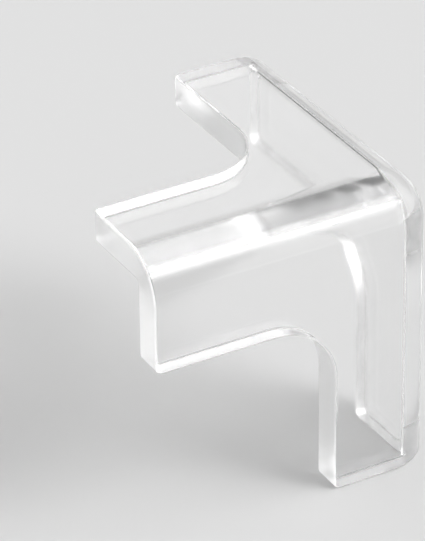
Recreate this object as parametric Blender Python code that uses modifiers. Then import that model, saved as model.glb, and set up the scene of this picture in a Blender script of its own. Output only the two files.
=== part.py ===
"""Clear moulded guard for a square corner of furniture.

One solid: three plates at right angles, one over the top of the corner and one over each of its two
sides. Each plate is a square with the quarter that is furthest from the corner left out, so an arm of
angle section runs along each of the three edges that meet there. The outside edges are well rounded and
meet in a ball at the corner, and the inside edges are nearly sharp, to fit close.

Metres, +Z up. The origin is the tip of the covered corner, where the three inside faces meet. What the
guard covers fills the space of negative X, positive Y and negative Z.
"""

import math

import bmesh
import bpy
from mathutils import Matrix, Vector

MM = 0.001

# Driving dimensions
ARM_LENGTH = 40.0 * MM            # outside face at the corner to the end of an arm
ARM_WIDTH = 15.3 * MM             # outside face to the cut edge of a plate
WALL = 4.2 * MM                   # thickness of each plate
OUTER_EDGE_RADIUS = 6.6 * MM      # outside edges and the ball at the corner
INNER_EDGE_RADIUS = 0.5 * MM      # inside edges, against the covered corner
NOTCH_RADIUS = 8.3 * MM           # inside corner where two arms of a plate meet
ARM_END_RADIUS = 1.0 * MM         # corners at the end of an arm, seen square on to the plate
RIM_RADIUS = 0.35 * MM            # softening where the cut faces meet the flat faces

# How finely the round stretches are divided
OUTER_EDGE_SEGMENTS = 10
INNER_EDGE_SEGMENTS = 3
NOTCH_SEGMENTS = 12
ARM_END_SEGMENTS = 4
RIM_SEGMENTS = 2

# Cutters run past the faces that they cut by this much
CUT_MARGIN = 6.0 * MM
# A corner found on the cut mesh lies within this distance of its worked-out place
FIND_DISTANCE = 0.05 * MM
# Only edges that turn more than this count as rims
RIM_ANGLE = math.radians(50)
# Round stretches are shaded smooth below this angle
SMOOTH_ANGLE = math.radians(30)

# Every plate is the top plate turned about the diagonal of the corner
CORNER_DIAGONAL = Vector((1, -1, 1)).normalized()
TURNS = [Matrix.Rotation(math.radians(120 * k), 4, CORNER_DIAGONAL) for k in range(3)]

OBJECT_NAME = "corner_guard"
CLEAR_COLOUR = (0.94, 0.95, 0.95, 1.0)
CLEAR_ROUGHNESS = 0.08
CLEAR_METALLIC = 0.0
CLEAR_IOR = 1.5


def clear_scene():
    """Remove every object, so that the script can be run again."""
    for thing in list(bpy.data.objects):
        bpy.data.objects.remove(thing, do_unlink=True)


def new_collection(name):
    """A collection of the given name under the scene."""
    collection = bpy.data.collections.new(name)
    bpy.context.scene.collection.children.link(collection)
    return collection


def box_mesh(low, high):
    """An open bmesh that holds one box between two corners."""
    size = high - low
    place = Matrix.Translation((low + high) / 2) @ Matrix.Diagonal(size).to_4x4()
    work = bmesh.new()
    bmesh.ops.create_cube(work, size=1.0, matrix=place)
    return work


def round_edges(work, edges, radius, segments):
    """Give the chosen edges of a bmesh a round of the given radius."""
    bmesh.ops.bevel(work, geom=edges, offset=radius, segments=segments, profile=0.5, affect="EDGES")


def edges_at(work, point):
    """The edges of a bmesh that end at a point."""
    return [edge for edge in work.edges if any((v.co - point).length < FIND_DISTANCE for v in edge.verts)]


def edge_between(work, low, high):
    """The edges of a bmesh that run straight from one point to another."""
    found = []
    for edge in work.edges:
        middle = (edge.verts[0].co + edge.verts[1].co) / 2
        if (middle - (low + high) / 2).length < FIND_DISTANCE:
            found.append(edge)
    return found


def object_from(work, name, collection):
    """Make an object of a bmesh, and free the bmesh."""
    mesh = bpy.data.meshes.new(name)
    work.to_mesh(mesh)
    work.free()
    thing = bpy.data.objects.new(name, mesh)
    collection.objects.link(thing)
    return thing


def as_cutter(thing):
    """Show an object as a cutter and keep it out of renders."""
    thing.display_type = "WIRE"
    thing.hide_render = True
    return thing


def make_block(collection):
    """The outside of the guard: a block with the three edges at the corner rounded."""
    tip = Vector((WALL, -WALL, WALL))
    far = tip + ARM_LENGTH * Vector((-1, 1, -1))
    low = Vector((far.x, tip.y, far.z))
    high = Vector((tip.x, far.y, tip.z))
    work = box_mesh(low, high)
    round_edges(work, edges_at(work, tip), OUTER_EDGE_RADIUS, OUTER_EDGE_SEGMENTS)
    return object_from(work, OBJECT_NAME, collection)


def make_corner_cutter(collection):
    """The space that the covered corner fills, with its three edges just off sharp."""
    reach = ARM_LENGTH + CUT_MARGIN
    work = box_mesh(Vector((-reach, 0, -reach)), Vector((0, reach, 0)))
    round_edges(work, edges_at(work, Vector((0, 0, 0))), INNER_EDGE_RADIUS, INNER_EDGE_SEGMENTS)
    return as_cutter(object_from(work, "covered_corner_cutter", collection))


def make_notch_cutters(collection):
    """Three boxes that take the far quarter out of each plate, each with one round edge."""
    cut_x = WALL - ARM_WIDTH
    cut_y = ARM_WIDTH - WALL
    reach = ARM_LENGTH + CUT_MARGIN
    low = Vector((-reach, cut_y, -CUT_MARGIN))
    high = Vector((cut_x, reach, WALL + CUT_MARGIN))
    work = box_mesh(low, high)
    corner_edge = edge_between(work, Vector((cut_x, cut_y, low.z)), Vector((cut_x, cut_y, high.z)))
    round_edges(work, corner_edge, NOTCH_RADIUS, NOTCH_SEGMENTS)
    first = as_cutter(object_from(work, "notch_cutter_1", collection))
    cutters = [first]
    for number, turn in enumerate(TURNS[1:], start=2):
        cutter = bpy.data.objects.new(f"notch_cutter_{number}", first.data)
        collection.objects.link(cutter)
        cutter.matrix_world = turn
        cutters.append(as_cutter(cutter))
    return cutters


def cut(thing, cutters):
    """Take the cutters out of an object, one Boolean for each."""
    for cutter in cutters:
        modifier = thing.modifiers.new(f"cut_{cutter.name}", "BOOLEAN")
        modifier.operation = "DIFFERENCE"
        modifier.solver = "EXACT"
        modifier.object = cutter


def apply_modifiers(thing):
    """Replace an object's mesh by the mesh that its modifiers give."""
    depsgraph = bpy.context.evaluated_depsgraph_get()
    mesh = bpy.data.meshes.new_from_object(thing.evaluated_get(depsgraph))
    mesh.name = thing.name
    thing.modifiers.clear()
    thing.data = mesh


def weight_arm_ends(thing):
    """Mark the corner at the end of each arm, on each plate, for its own round."""
    inside = Vector((WALL - ARM_LENGTH, ARM_WIDTH - WALL, 0))
    outside = Vector((WALL - ARM_LENGTH, ARM_WIDTH - WALL, WALL))
    work = bmesh.new()
    work.from_mesh(thing.data)
    weights = work.edges.layers.float.new("bevel_weight_edge")
    swap = Matrix(((0, -1, 0, 0), (-1, 0, 0, 0), (0, 0, 1, 0), (0, 0, 0, 1)))
    for turn in TURNS:
        for place in (turn, turn @ swap):
            for edge in edge_between(work, place @ inside, place @ outside):
                edge[weights] = 1.0
    work.to_mesh(thing.data)
    work.free()


def round_arm_ends(thing):
    """Round the marked corners."""
    modifier = thing.modifiers.new("arm_end_corners", "BEVEL")
    modifier.limit_method = "WEIGHT"
    modifier.width = ARM_END_RADIUS
    modifier.segments = ARM_END_SEGMENTS


def soften_rims(thing):
    """Take the sharpness off every edge of the cut faces."""
    modifier = thing.modifiers.new("soft_rims", "BEVEL")
    modifier.limit_method = "ANGLE"
    modifier.angle_limit = RIM_ANGLE
    modifier.width = RIM_RADIUS
    modifier.segments = RIM_SEGMENTS


def clear_material():
    """Water-clear soft plastic with a gloss moulded surface."""
    material = bpy.data.materials.new("clear_soft_plastic")
    material.use_nodes = True
    shader = material.node_tree.nodes["Principled BSDF"]
    shader.inputs["Base Color"].default_value = CLEAR_COLOUR
    shader.inputs["Roughness"].default_value = CLEAR_ROUGHNESS
    shader.inputs["Metallic"].default_value = CLEAR_METALLIC
    shader.inputs["IOR"].default_value = CLEAR_IOR
    shader.inputs["Transmission Weight"].default_value = 1.0
    return material


def main():
    clear_scene()
    parts = new_collection("edge_protector")
    cutters = new_collection("cutters")
    guard = make_block(parts)
    cut(guard, [make_corner_cutter(cutters)] + make_notch_cutters(cutters))
    apply_modifiers(guard)
    weight_arm_ends(guard)
    round_arm_ends(guard)
    soften_rims(guard)
    guard.data.materials.clear()
    guard.data.materials.append(clear_material())
    guard.data.shade_smooth()
    guard.data.set_sharp_from_angle(angle=SMOOTH_ANGLE)


main()
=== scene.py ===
"""Looks of a clear guard for a square corner: its smooth moulded skin, its plastic, and a pale studio.

The guard is one moulding. Its skin is worked out with numpy as grids of points: an outside sheet, an
inside sheet and the rim that joins them, all functions of two parameters. Metres, +Z up, in the frame
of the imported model, whose origin is the tip of the covered corner.
"""

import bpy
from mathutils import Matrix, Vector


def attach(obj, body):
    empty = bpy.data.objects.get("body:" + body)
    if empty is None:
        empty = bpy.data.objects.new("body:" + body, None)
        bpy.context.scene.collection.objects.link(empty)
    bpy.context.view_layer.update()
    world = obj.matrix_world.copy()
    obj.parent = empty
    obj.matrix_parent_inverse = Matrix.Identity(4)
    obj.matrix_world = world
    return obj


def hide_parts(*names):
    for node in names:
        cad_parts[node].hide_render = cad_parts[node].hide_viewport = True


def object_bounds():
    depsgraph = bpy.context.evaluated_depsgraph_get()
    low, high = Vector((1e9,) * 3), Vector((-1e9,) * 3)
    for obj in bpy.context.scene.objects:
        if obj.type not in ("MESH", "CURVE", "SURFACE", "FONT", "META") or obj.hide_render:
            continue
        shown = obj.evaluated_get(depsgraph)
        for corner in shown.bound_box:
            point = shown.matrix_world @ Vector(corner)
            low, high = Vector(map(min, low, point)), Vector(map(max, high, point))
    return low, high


bl_info = {
    "name": "Clear Corner Guard",
    "version": (1, 0, 0),
    "blender": (4, 5, 0),
    "location": "3D View > Sidebar > Corner Guard",
    "description": "Builds a clear moulded guard for a square corner, with its plastic and its studio",
    "category": "Object",
}

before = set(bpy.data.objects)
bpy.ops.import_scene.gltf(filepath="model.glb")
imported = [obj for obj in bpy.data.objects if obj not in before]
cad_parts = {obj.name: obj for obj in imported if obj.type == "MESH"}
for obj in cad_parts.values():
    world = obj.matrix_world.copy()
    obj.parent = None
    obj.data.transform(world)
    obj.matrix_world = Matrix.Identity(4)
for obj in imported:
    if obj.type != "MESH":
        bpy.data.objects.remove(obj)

import math

import bpy
import numpy as np
from bpy.props import FloatProperty, FloatVectorProperty, PointerProperty
from mathutils import Matrix, Vector

CAD_LOW, CAD_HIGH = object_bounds()

MM = 0.001
NODE = "corner_guard"
BODY = "root"

# The skin's grid: steps along each stretch of it
FILLET_STEPS = 14
INNER_ROUND_STEPS = 6
FLAT_STEPS = 14
NOTCH_STEPS = 24
ARM_STEPS = 16
END_STEPS = 6
RIM_ROUND_STEPS = 5
CUT_FACE_STEPS = 6
# Points closer than this are one point
WELD_DISTANCE = 0.001 * MM
# Points are sorted into cells of that size, moved by this share of one, so that no round value of the
# shape falls on the border between two cells
CELL_SHIFT = 0.37


class GuardSizes(bpy.types.PropertyGroup):
    """Sizes of the moulding that the frame's box doesn't give"""

    arm_width: FloatProperty(
        name="Arm width",
        description="From an outside face to the cut edge of a plate",
        default=15.3 * MM, min=8 * MM, max=30 * MM, precision=5, unit="LENGTH",
    )
    outer_edge_radius: FloatProperty(
        name="Outside edge radius",
        description="Round of the outside edges and of the ball at the corner",
        default=6.6 * MM, min=1 * MM, max=8 * MM, precision=5, unit="LENGTH",
    )
    inner_edge_radius: FloatProperty(
        name="Inside edge radius",
        description="Round of the inside edges, against the covered corner",
        default=0.5 * MM, min=0.1 * MM, max=2 * MM, precision=5, unit="LENGTH",
    )
    notch_radius: FloatProperty(
        name="Notch radius",
        description="Round of the inside corner where two arms of a plate meet",
        default=8.3 * MM, min=1 * MM, max=15 * MM, precision=5, unit="LENGTH",
    )
    arm_end_radius: FloatProperty(
        name="Arm end radius",
        description="Round of the corners at the end of an arm, square on to the plate",
        default=1.0 * MM, min=0.5 * MM, max=4 * MM, precision=5, unit="LENGTH",
    )
    rim_radius: FloatProperty(
        name="Rim radius",
        description="Softening where the cut faces meet the flat faces",
        default=0.35 * MM, min=0.1 * MM, max=0.9 * MM, precision=5, unit="LENGTH",
    )


class GuardFinish(bpy.types.PropertyGroup):
    """The clear plastic"""

    tint: FloatVectorProperty(
        name="Tint",
        description="Colour that the plastic gives to light at its surface",
        subtype="COLOR", size=4, default=(1.0, 1.0, 1.0, 1.0), min=0, max=1,
    )
    refraction: FloatProperty(
        name="Refractive index",
        description="Index of refraction of clear soft plastic",
        default=1.5, min=1.3, max=1.7,
    )
    gloss_roughness: FloatProperty(
        name="Face roughness",
        description="Roughness of the moulded faces",
        default=0.07, min=0, max=1,
    )
    cut_roughness: FloatProperty(
        name="Cut face roughness",
        description="Roughness of the cut faces round the rim",
        default=0.45, min=0, max=1,
    )
    waviness: FloatProperty(
        name="Waviness",
        description="Strength of the slow unevenness of the moulded skin",
        default=0.01, min=0, max=1,
    )


class StudioLook(bpy.types.PropertyGroup):
    """The floor and the light"""

    floor_colour: FloatVectorProperty(
        name="Floor colour",
        description="Colour of the pale floor",
        subtype="COLOR", size=4, default=(0.72, 0.72, 0.72, 1.0), min=0, max=1,
    )
    key_strength: FloatProperty(
        name="Front softbox",
        description="Brightness of the soft-edged light that draws the line along the front edge",
        default=6.0, min=0, max=50,
    )
    side_strength: FloatProperty(
        name="Side softbox",
        description="Brightness of the low wide light that lights the cut faces through the walls",
        default=3.5, min=0, max=50,
    )
    room_strength: FloatProperty(
        name="Room light",
        description="Strength of all the light in the room, its softboxes included",
        default=1.0, min=0, max=5,
    )


def stretch(start, end, steps):
    """Even values from start to end, without the first."""
    return np.linspace(start, end, steps + 1)[1:]


def guard_shape(sizes):
    """The moulding's sizes as a plain dictionary, with its arm length and wall from the frame."""
    return {
        "length": CAD_HIGH.x - CAD_LOW.x,
        "wall": CAD_HIGH.x,
        "width": sizes.arm_width,
        "outer": sizes.outer_edge_radius,
        "inner": sizes.inner_edge_radius,
        "notch": sizes.notch_radius,
        "end": sizes.arm_end_radius,
        "rim": sizes.rim_radius,
    }


def arm_stations(shape):
    """Distances behind the corner's outside face of the grid's lines past the outside edge's round.

    They run straight to the middle of the notch's round, by the cosine of the angle through the rest
    of it, straight along the arm, and by the sine of the angle round the corner at the arm's end, up
    to one rim radius short of it.
    """
    edge = shape["outer"]
    rim = shape["rim"]
    centre = shape["width"] + shape["notch"]
    middle = centre - (shape["notch"] + rim) * math.sqrt(0.5)
    turn = stretch(math.pi / 4, math.pi / 2, NOTCH_STEPS)
    last_round = shape["end"] - rim
    swing = stretch(0, math.pi / 2, END_STEPS)
    runs = np.concatenate([
        stretch(edge, middle, FLAT_STEPS),
        centre - (shape["notch"] + rim) * np.cos(turn),
        stretch(centre, shape["length"] - shape["end"], ARM_STEPS),
        shape["length"] - shape["end"] + last_round * np.sin(swing),
    ])
    return runs


def arm_breadth(shape, reach):
    """Breadth of a plate's arm at each distance from the corner, drawn in from the cut by the rim.

    Round the notch it is the circle about the notch's centre, then a straight line, and at the arm's
    end the quarter circle of the end corner.
    """
    rim = shape["rim"]
    centre = shape["width"] + shape["notch"]
    radius = shape["notch"] + rim
    inside = np.clip(centre - reach, 0, radius)
    notch = centre - np.sqrt(radius ** 2 - inside ** 2)
    last_round = shape["end"] - rim
    past = np.clip(reach - (shape["length"] - shape["end"]), 0, last_round)
    corner = shape["width"] - shape["end"] + np.sqrt(last_round ** 2 - past ** 2)
    return np.where(inside > 0, notch, np.where(past > 0, corner, shape["width"] - rim))


def sheet_lines(shape, inside):
    """Angles and straight runs of the grid's lines on the outside or the inside sheet.

    Returns, for each line from the seam to the arm's end, the angle of the skin's normal off the
    plate's own, and the run past the centre of the edge's round.
    """
    flats = arm_stations(shape) - shape["outer"]
    if inside:
        lead = shape["outer"] - shape["wall"] - shape["inner"]
        rest = FILLET_STEPS - INNER_ROUND_STEPS
        angles = np.concatenate([np.linspace(math.pi / 4, 0, INNER_ROUND_STEPS + 1), np.zeros(rest)])
        runs = np.concatenate([np.zeros(INNER_ROUND_STEPS + 1), stretch(0, lead, rest)])
        return np.concatenate([angles, np.zeros(len(flats))]), np.concatenate([runs, lead + flats])
    angles = np.linspace(math.pi / 4, 0, FILLET_STEPS + 1)
    runs = np.zeros(FILLET_STEPS + 1)
    return np.concatenate([angles, np.zeros(len(flats))]), np.concatenate([runs, flats])


def skin(shape, inside, along, run_along, across, run_across):
    """Points and normals of a sheet of the top plate.

    The normal leans from the plate's own by the tangent of each edge's angle, so it is
    (tan(along), -tan(across), 1) made unit length. The point lies one radius along it from a centre
    that runs back from the corner by the straight runs. On the inside sheet the normal is turned
    over, to face what the guard covers.
    """
    radius = shape["inner"] if inside else shape["outer"]
    face = 0.0 if inside else shape["wall"]
    lean = np.stack([np.tan(along), -np.tan(across), np.ones_like(along)], axis=-1)
    lean /= np.linalg.norm(lean, axis=-1, keepdims=True)
    centre = np.stack([
        face - radius - run_along,
        radius - face + run_across,
        np.full_like(run_along, face - radius),
    ], axis=-1)
    return centre + radius * lean, -lean if inside else lean


def plate_grids(shape, inside):
    """The grids of one half of the top plate: the square at the corner and the arm along X.

    The square is spanned by the lines up to the middle of the notch both ways. On the arm the lines
    across it are stretched, past the edge's round, to meet the cut edge.
    """
    angles, runs = sheet_lines(shape, inside)
    square = FILLET_STEPS + FLAT_STEPS + 1
    lead = shape["outer"] - shape["wall"] - shape["inner"] if inside else 0.0
    along, across = np.meshgrid(angles[:square], angles[:square], indexing="ij")
    run_along, run_across = np.meshgrid(runs[:square], runs[:square], indexing="ij")
    corner = skin(shape, inside, along, run_along, across, run_across)
    arm = slice(square - 1, None)
    along, across = np.meshgrid(angles[arm], angles[:square], indexing="ij")
    run_along, run_across = np.meshgrid(runs[arm], runs[:square], indexing="ij")
    reach = runs[arm] - lead + shape["outer"]
    full = runs[square - 1] - lead
    share = (arm_breadth(shape, reach) - shape["outer"]) / full
    beyond = np.clip(runs[:square] - lead, 0, None)
    base = np.minimum(runs[:square], lead)
    run_across = base[None, :] + share[:, None] * beyond[None, :]
    return corner, skin(shape, inside, along, run_along, across, run_across)


def grid_faces(rows, columns, start, flip):
    """Quads of a grid of rows by columns of points, numbered from start."""
    index = start + np.arange(rows * columns).reshape(rows, columns)
    quads = np.stack([index[:-1, :-1], index[1:, :-1], index[1:, 1:], index[:-1, 1:]], axis=-1)
    quads = quads.reshape(-1, 4)
    return quads[:, ::-1] if flip else quads


def rim_strip(shape, outer, inner, way_out):
    """The rim along one stretch of outline: a round, the cut face and a round.

    outer and inner are (points, normals) along the outline, way_out the unit directions out of the
    plastic. A round swings from the sheet's normal to way_out through 90 degrees, with its centre one
    rim radius under the sheet, and the cut face joins the two rounds straight. The mask that comes
    with them is the sine of the swing on the rounds and 1 on the cut face.
    """
    rim = shape["rim"]
    swing = np.linspace(0, math.pi / 2, RIM_ROUND_STEPS + 1)[:, None, None]

    def round_of(points, normals):
        turned = np.sin(swing) * way_out[None] + np.cos(swing) * normals[None]
        return points[None] - rim * normals[None] + rim * turned, turned

    out_points, out_normals = round_of(*outer)
    in_points, in_normals = round_of(*inner)
    share = np.linspace(0, 1, CUT_FACE_STEPS + 1)[1:-1, None, None]
    cut_points = (1 - share) * out_points[-1][None] + share * in_points[-1][None]
    cut_normals = np.broadcast_to(way_out[None], cut_points.shape)
    points = np.concatenate([out_points, cut_points, in_points[::-1]])
    normals = np.concatenate([out_normals, cut_normals, in_normals[::-1]])
    mask = np.concatenate([
        np.broadcast_to(np.sin(swing)[:, :, 0], out_points.shape[:2]),
        np.ones(cut_points.shape[:2]),
        np.broadcast_to(np.sin(swing)[::-1, :, 0], in_points.shape[:2]),
    ])
    return points, normals, mask


def outline_way_out(shape, reach):
    """Unit directions out of the plastic along the cut edge of the arm along X, one for each station.

    Round the notch they point at the notch's centre, then straight across the arm, and at the end
    corner away from that corner's centre.
    """
    rim = shape["rim"]
    centre = shape["width"] + shape["notch"]
    inside = np.clip((centre - reach) / (shape["notch"] + rim), 0, 1)
    past = np.clip((reach - (shape["length"] - shape["end"])) / (shape["end"] - rim), 0, 1)
    sideways = inside + past
    straight = np.sqrt(np.clip(1 - sideways ** 2, 0, 1))
    return np.stack([-sideways, straight, np.zeros_like(reach)], axis=-1)


def half_plate(shape):
    """All grids of the half of the top plate that holds the arm along X.

    Returns two lists of (points, normals, cut mask, flip): the arm with its rims, and the square at the
    corner, which is its own mirror.
    """
    outer_corner, outer_arm = plate_grids(shape, inside=False)
    inner_corner, inner_arm = plate_grids(shape, inside=True)
    reach = arm_stations(shape)[FLAT_STEPS - 1:]
    side = outline_way_out(shape, reach)
    end = np.broadcast_to(np.array([-1.0, 0.0, 0.0]), outer_arm[0][-1].shape)
    along_cut = rim_strip(
        shape,
        (outer_arm[0][:, -1], outer_arm[1][:, -1]),
        (inner_arm[0][:, -1], inner_arm[1][:, -1]),
        side,
    )
    along_end = rim_strip(
        shape,
        (outer_arm[0][-1, ::-1], outer_arm[1][-1, ::-1]),
        (inner_arm[0][-1, ::-1], inner_arm[1][-1, ::-1]),
        end,
    )
    plain = [
        (outer_arm[0], outer_arm[1], np.zeros(outer_arm[0].shape[:2]), True),
        (inner_arm[0], inner_arm[1], np.zeros(inner_arm[0].shape[:2]), False),
    ]
    corner = [
        (outer_corner[0], outer_corner[1], np.zeros(outer_corner[0].shape[:2]), True),
        (inner_corner[0], inner_corner[1], np.zeros(inner_corner[0].shape[:2]), False),
    ]
    rims = [(*along_cut, False), (*along_end, False)]
    return plain + rims, corner


def turned(grid, matrix, mirrored):
    """A grid moved by a 3 by 3 matrix. A mirror turns its faces round."""
    points, normals, mask, flip = grid
    return points @ matrix.T, normals @ matrix.T, mask, flip != mirrored


def guard_grids(shape):
    """Every grid of the guard: the half plate and its mirror, at three turns about the diagonal."""
    halves, corner = half_plate(shape)
    # The mirror that swaps the arm along X and the arm along Y
    swap = np.array([[0.0, -1.0, 0.0], [-1.0, 0.0, 0.0], [0.0, 0.0, 1.0]])
    diagonal = Vector((1, -1, 1))
    grids = []
    for third in range(3):
        turn = np.array(Matrix.Rotation(math.radians(120 * third), 3, diagonal))
        grids += [turned(grid, turn, False) for grid in halves + corner]
        grids += [turned(grid, turn @ swap, True) for grid in halves]
    return grids


def weld(points):
    """Which points stay when those at the same place become one, and which of them stands for each."""
    cells = np.floor(points / WELD_DISTANCE + CELL_SHIFT).astype(np.int64)
    _, keep, sent = np.unique(cells, axis=0, return_index=True, return_inverse=True)
    return keep, sent.reshape(-1)


def mesh_from_grids(name, grids):
    """One closed mesh of all the grids, with exact normals and the cut faces marked.

    Points that meet are welded, and a quad that this leaves with a side of no length is dropped.
    """
    points = np.concatenate([grid[0].reshape(-1, 3) for grid in grids])
    normals = np.concatenate([grid[1].reshape(-1, 3) for grid in grids])
    mask = np.concatenate([np.asarray(grid[2]).reshape(-1) for grid in grids])
    starts = np.cumsum([0] + [grid[2].size for grid in grids])
    faces = np.concatenate([
        grid_faces(*grid[2].shape, start, grid[3]) for grid, start in zip(grids, starts)
    ])
    keep, sent = weld(points)
    faces = sent[faces]
    whole = np.ones(len(faces), dtype=bool)
    for one in range(4):
        whole &= faces[:, one] != faces[:, (one + 1) % 4]
    faces = faces[whole]
    mesh = bpy.data.meshes.new(name)
    mesh.vertices.add(len(keep))
    mesh.vertices.foreach_set("co", points[keep].astype(np.float32).ravel())
    mesh.loops.add(faces.size)
    mesh.loops.foreach_set("vertex_index", faces.astype(np.int32).ravel())
    mesh.polygons.add(len(faces))
    mesh.polygons.foreach_set("loop_start", np.arange(0, faces.size, 4, dtype=np.int32))
    mesh.update(calc_edges=True)
    mesh.validate()
    mesh.shade_smooth()
    mesh.normals_split_custom_set_from_vertices(normals[keep].astype(np.float32))
    cut = mesh.attributes.new("cut_face", "FLOAT", "POINT")
    cut.data.foreach_set("value", mask[keep].astype(np.float32))
    return mesh


# The moulded skin: how many waves and pits go on a metre, how far the pits count in its height, and how
# deep that height is
WAVES_PER_METRE = 90.0
PITS_PER_METRE = 900.0
PIT_SHARE = 0.08
WAVE_DETAIL = 1.0
PIT_DETAIL = 2.0
SKIN_DEPTH = 1.0 * MM
# Roughness that the duller patches add at most
PATCH_ROUGHNESS = 0.03


def uneven_skin_group():
    """Node group: the slow waves and fine pits of a moulded skin, as a height and a patchiness."""
    group = bpy.data.node_groups.new("Uneven moulded skin", "ShaderNodeTree")
    inlet = group.interface.new_socket("Wave Scale", in_out="INPUT", socket_type="NodeSocketFloat")
    inlet.default_value = WAVES_PER_METRE
    inlet = group.interface.new_socket("Pit Scale", in_out="INPUT", socket_type="NodeSocketFloat")
    inlet.default_value = PITS_PER_METRE
    inlet = group.interface.new_socket("Pit Share", in_out="INPUT", socket_type="NodeSocketFloat")
    inlet.default_value = PIT_SHARE
    group.interface.new_socket("Height", in_out="OUTPUT", socket_type="NodeSocketFloat")
    group.interface.new_socket("Patches", in_out="OUTPUT", socket_type="NodeSocketFloat")
    nodes, links = group.nodes, group.links
    come = nodes.new("NodeGroupInput")
    go = nodes.new("NodeGroupOutput")
    place = nodes.new("ShaderNodeTexCoord")
    waves = nodes.new("ShaderNodeTexNoise")
    waves.inputs["Detail"].default_value = WAVE_DETAIL
    pits = nodes.new("ShaderNodeTexNoise")
    pits.inputs["Detail"].default_value = PIT_DETAIL
    blend = nodes.new("ShaderNodeMix")
    blend.data_type = "FLOAT"
    links.new(place.outputs["Object"], waves.inputs["Vector"])
    links.new(place.outputs["Object"], pits.inputs["Vector"])
    links.new(come.outputs["Wave Scale"], waves.inputs["Scale"])
    links.new(come.outputs["Pit Scale"], pits.inputs["Scale"])
    links.new(come.outputs["Pit Share"], blend.inputs[0])
    links.new(waves.outputs["Fac"], blend.inputs[2])
    links.new(pits.outputs["Fac"], blend.inputs[3])
    links.new(blend.outputs[0], go.inputs["Height"])
    links.new(pits.outputs["Fac"], go.inputs["Patches"])
    return group


def clear_plastic(finish):
    """Water-clear soft plastic: glossy moulded faces and duller cut faces, each a little patchy."""
    material = bpy.data.materials.new("clear_soft_plastic")
    material.use_nodes = True
    nodes, links = material.node_tree.nodes, material.node_tree.links
    shader = nodes["Principled BSDF"]
    shader.inputs["Base Color"].default_value = finish.tint
    shader.inputs["IOR"].default_value = finish.refraction
    shader.inputs["Transmission Weight"].default_value = 1.0
    uneven = nodes.new("ShaderNodeGroup")
    uneven.node_tree = uneven_skin_group()
    cut = nodes.new("ShaderNodeAttribute")
    cut.attribute_name = "cut_face"
    dull = nodes.new("ShaderNodeMapRange")
    dull.inputs["To Min"].default_value = finish.gloss_roughness
    dull.inputs["To Max"].default_value = finish.cut_roughness
    patchy = nodes.new("ShaderNodeMath")
    patchy.operation = "MULTIPLY_ADD"
    patchy.inputs[1].default_value = PATCH_ROUGHNESS
    bump = nodes.new("ShaderNodeBump")
    bump.inputs["Strength"].default_value = finish.waviness
    bump.inputs["Distance"].default_value = SKIN_DEPTH
    links.new(cut.outputs["Fac"], dull.inputs["Value"])
    links.new(uneven.outputs["Patches"], patchy.inputs[0])
    links.new(dull.outputs["Result"], patchy.inputs[2])
    links.new(patchy.outputs["Value"], shader.inputs["Roughness"])
    links.new(uneven.outputs["Height"], bump.inputs["Height"])
    links.new(bump.outputs["Normal"], shader.inputs["Normal"])
    return material


class BuildGuard(bpy.types.Operator):
    """Build the guard's smooth skin in clear plastic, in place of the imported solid"""

    bl_idname = "corner_guard.build_guard"
    bl_label = "Build Guard"

    def execute(self, context):
        shape = guard_shape(context.scene.guard_sizes)
        mesh = mesh_from_grids("clear_guard", guard_grids(shape))
        mesh.materials.append(clear_plastic(context.scene.guard_finish))
        guard = bpy.data.objects.new("clear_guard", mesh)
        context.scene.collection.objects.link(guard)
        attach(guard, BODY)
        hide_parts(NODE)
        return {"FINISHED"}


# The floor is a square about the origin, a hair under the guard, matt and nearly without gloss
FLOOR_HALF = 1500 * MM
FLOOR_GAP = 0.02 * MM
FLOOR_ROUGHNESS = 0.9
FLOOR_GLOSS = 0.1


def floor_material(colour):
    """Pale matt floor."""
    material = bpy.data.materials.new("pale_floor")
    material.use_nodes = True
    shader = material.node_tree.nodes["Principled BSDF"]
    shader.inputs["Base Color"].default_value = colour
    shader.inputs["Roughness"].default_value = FLOOR_ROUGHNESS
    shader.inputs["Specular IOR Level"].default_value = FLOOR_GLOSS
    return material


def floor_mesh():
    """One square face, level with the guard's lowest point less the gap."""
    low = CAD_LOW.z - FLOOR_GAP
    corners = [
        (-FLOOR_HALF, -FLOOR_HALF, low),
        (FLOOR_HALF, -FLOOR_HALF, low),
        (FLOOR_HALF, FLOOR_HALF, low),
        (-FLOOR_HALF, FLOOR_HALF, low),
    ]
    mesh = bpy.data.meshes.new("floor")
    mesh.from_pydata(corners, [], [(0, 1, 2, 3)])
    return mesh


# Brightness of the room by height: the sine of the angle above the horizon, and the grey there
ROOM_GREYS = (
    (0.0, 0.85), (0.05, 0.78), (0.08, 0.08), (0.40, 0.08),
    (0.46, 1.0), (0.60, 1.0), (0.75, 0.50), (1.0, 0.45),
)
# Softboxes: the way to the middle, and the degrees off it at which the light starts to fall and ends
FRONT_SOFTBOX = (Vector((0.43, -0.57, 0.68)), 3.0, 18.0)
SIDE_SOFTBOX = (Vector((0.84, -0.47, 0.27)), 8.0, 45.0)


def softbox_glow(tree, way, softbox, strength):
    """Light of a softbox with feathered edges.

    It is strength times a smooth step of the cosine of the angle off the softbox's middle.
    """
    middle, core, edge = softbox
    toward = tree.nodes.new("ShaderNodeVectorMath")
    toward.operation = "DOT_PRODUCT"
    toward.inputs[1].default_value = middle.normalized()
    fall = tree.nodes.new("ShaderNodeMapRange")
    fall.interpolation_type = "SMOOTHSTEP"
    fall.inputs["From Min"].default_value = math.cos(math.radians(edge))
    fall.inputs["From Max"].default_value = math.cos(math.radians(core))
    fall.inputs["To Max"].default_value = strength
    tree.links.new(way, toward.inputs[0])
    tree.links.new(toward.outputs["Value"], fall.inputs["Value"])
    return fall.outputs["Result"]


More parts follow.
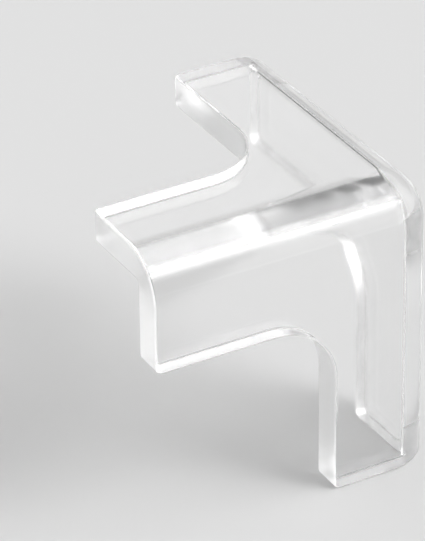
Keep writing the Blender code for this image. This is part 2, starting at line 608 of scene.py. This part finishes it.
def studio_room(look):
    """The world, with two softboxes in it.

    It is pale at the horizon, dark in a band above it, white over that and grey at the top.
    """
    world = bpy.data.worlds.new("studio_room")
    world.use_nodes = True
    tree = world.node_tree
    background = tree.nodes["Background"]
    background.inputs["Strength"].default_value = look.room_strength
    way = tree.nodes.new("ShaderNodeTexCoord").outputs["Generated"]
    split = tree.nodes.new("ShaderNodeSeparateXYZ")
    greys = tree.nodes.new("ShaderNodeValToRGB")
    stops = greys.color_ramp.elements
    # A new stop is put in the middle, and gets its own place in the next loop
    while len(stops) < len(ROOM_GREYS):
        stops.new(0.5)
    for stop, (height, grey) in zip(stops, ROOM_GREYS):
        stop.position = height
        stop.color = (grey, grey, grey, 1.0)
    tree.links.new(way, split.inputs["Vector"])
    tree.links.new(split.outputs["Z"], greys.inputs["Fac"])
    light = greys.outputs["Color"]
    for softbox, strength in ((FRONT_SOFTBOX, look.key_strength), (SIDE_SOFTBOX, look.side_strength)):
        both = tree.nodes.new("ShaderNodeVectorMath")
        tree.links.new(light, both.inputs[0])
        tree.links.new(softbox_glow(tree, way, softbox, strength), both.inputs[1])
        light = both.outputs["Vector"]
    tree.links.new(light, background.inputs["Color"])
    return world


# Light runs along inside the clear walls, and has to leave them before it is given up
LIGHT_BOUNCES = 40

# The camera, fitted to the guard's corners and outlines in the picture
CAMERA_AZIMUTH = math.radians(-29.3)
CAMERA_ELEVATION = math.radians(30.9)
CAMERA_ROLL = math.radians(-0.72)
CAMERA_DISTANCE = 484 * MM
CAMERA_AIM = Vector((-17.19, 15.19, -12.15)) * MM
CAMERA_LENS = 260.2
CAMERA_SENSOR = 36.0
CAMERA_NEAR = 10 * MM
CAMERA_FAR = 10.0


def studio_camera():
    """The camera, on a sphere about its aim and turned a little about its own axis.

    Azimuth runs anticlockwise from -Y and elevation up from the horizon, so the way back from the aim
    is (sin a cos e, -cos a cos e, sin e). The way right is level, and the way up is square to both.
    """
    data = bpy.data.cameras.new("camera")
    data.sensor_width = CAMERA_SENSOR
    data.lens = CAMERA_LENS
    data.clip_start = CAMERA_NEAR
    data.clip_end = CAMERA_FAR
    camera = bpy.data.objects.new("camera", data)
    back_way = Vector((
        math.sin(CAMERA_AZIMUTH) * math.cos(CAMERA_ELEVATION),
        -math.cos(CAMERA_AZIMUTH) * math.cos(CAMERA_ELEVATION),
        math.sin(CAMERA_ELEVATION),
    ))
    right = Vector((math.cos(CAMERA_AZIMUTH), math.sin(CAMERA_AZIMUTH), 0))
    up = back_way.cross(right)
    turn = Matrix((right, up, back_way)).transposed() @ Matrix.Rotation(CAMERA_ROLL, 3, "Z")
    camera.matrix_world = Matrix.Translation(CAMERA_AIM + CAMERA_DISTANCE * back_way) @ turn.to_4x4()
    return camera


class BuildStudio(bpy.types.Operator):
    """Build the floor, the room with its softboxes, and the camera"""

    bl_idname = "corner_guard.build_studio"
    bl_label = "Build Studio"

    def execute(self, context):
        look = context.scene.studio_look
        mesh = floor_mesh()
        mesh.materials.append(floor_material(look.floor_colour))
        floor = bpy.data.objects.new("floor", mesh)
        context.scene.collection.objects.link(floor)
        context.scene.world = studio_room(look)
        camera = studio_camera()
        context.scene.collection.objects.link(camera)
        context.scene.camera = camera
        context.scene.view_settings.view_transform = "Standard"
        context.scene.cycles.max_bounces = LIGHT_BOUNCES
        context.scene.cycles.transmission_bounces = LIGHT_BOUNCES
        context.scene.cycles.glossy_bounces = LIGHT_BOUNCES
        return {"FINISHED"}


class GuardPanel(bpy.types.Panel):
    """Sizes, finish and studio of the corner guard"""

    bl_idname = "VIEW3D_PT_corner_guard"
    bl_label = "Corner Guard"
    bl_space_type = "VIEW_3D"
    bl_region_type = "UI"
    bl_category = "Corner Guard"

    def draw(self, context):
        layout = self.layout
        for group in (context.scene.guard_sizes, context.scene.guard_finish, context.scene.studio_look):
            box = layout.box()
            for name in group.bl_rna.properties.keys():
                if name not in ("rna_type", "name"):
                    box.prop(group, name)
        layout.operator(BuildGuard.bl_idname)
        layout.operator(BuildStudio.bl_idname)


CLASSES = (GuardSizes, GuardFinish, StudioLook, BuildGuard, BuildStudio, GuardPanel)


def register():
    for item in CLASSES:
        bpy.utils.register_class(item)
    bpy.types.Scene.guard_sizes = PointerProperty(type=GuardSizes)
    bpy.types.Scene.guard_finish = PointerProperty(type=GuardFinish)
    bpy.types.Scene.studio_look = PointerProperty(type=StudioLook)


def unregister():
    del bpy.types.Scene.studio_look
    del bpy.types.Scene.guard_finish
    del bpy.types.Scene.guard_sizes
    for item in reversed(CLASSES):
        bpy.utils.unregister_class(item)


def main():
    register()
    bpy.ops.corner_guard.build_guard()
    bpy.ops.corner_guard.build_studio()


if __name__ == "__main__":
    main()
